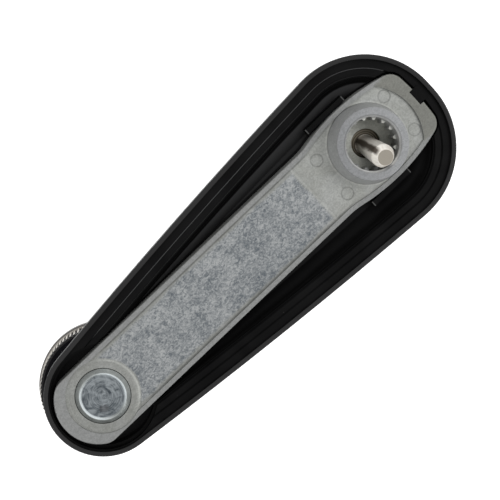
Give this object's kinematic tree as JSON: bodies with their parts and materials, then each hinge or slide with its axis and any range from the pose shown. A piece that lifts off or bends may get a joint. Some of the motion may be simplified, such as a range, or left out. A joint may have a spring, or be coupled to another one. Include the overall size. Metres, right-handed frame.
{
  "type": "crank handle",
  "caption": "Hand crank with a splined hub socket in a cast arm, a teardrop cover and a free-turning fluted knob.",
  "frame": {"origin": "hub axis, in the plane of the hub's mating face around the socket mouth", "axes": "+X along the arm to the knob axis, +Z out of the splined socket at the handle's back, +Y across the arm"},
  "size_m": [0.1368, 0.0484, 0.0346],
  "materials": {
    "zinc_casting": null,
    "cover_plastic": "black moulded plastic, satin",
    "pin_steel": "turned and polished steel",
    "spindle_steel": "turned steel, bright lip",
    "knob_plastic": "dark grey moulded plastic",
    "bush_brass": "plain bearing brass",
    "knob_metal": "satin metal",
    "washer_steel": "plain steel"
  },
  "bodies": {
    "crank": {"arm": "zinc_casting", "cover": "cover_plastic", "centre_pin": "pin_steel", "knob_spindle": "spindle_steel", "retaining_washer": "washer_steel", "spring_washer": "washer_steel"},
    "knob": {"knob_body": "knob_plastic", "knob_bush": "bush_brass", "knob_grip_ring": "knob_metal", "knob_cap": "knob_metal"}
  },
  "joints": [
    {"name": "knob_spin", "type": "hinge", "parent": "crank", "child": "knob", "pos_m": [0.0965, 0, -0.0214], "axis": [0, 0, 1], "continuous": true}
  ]
}
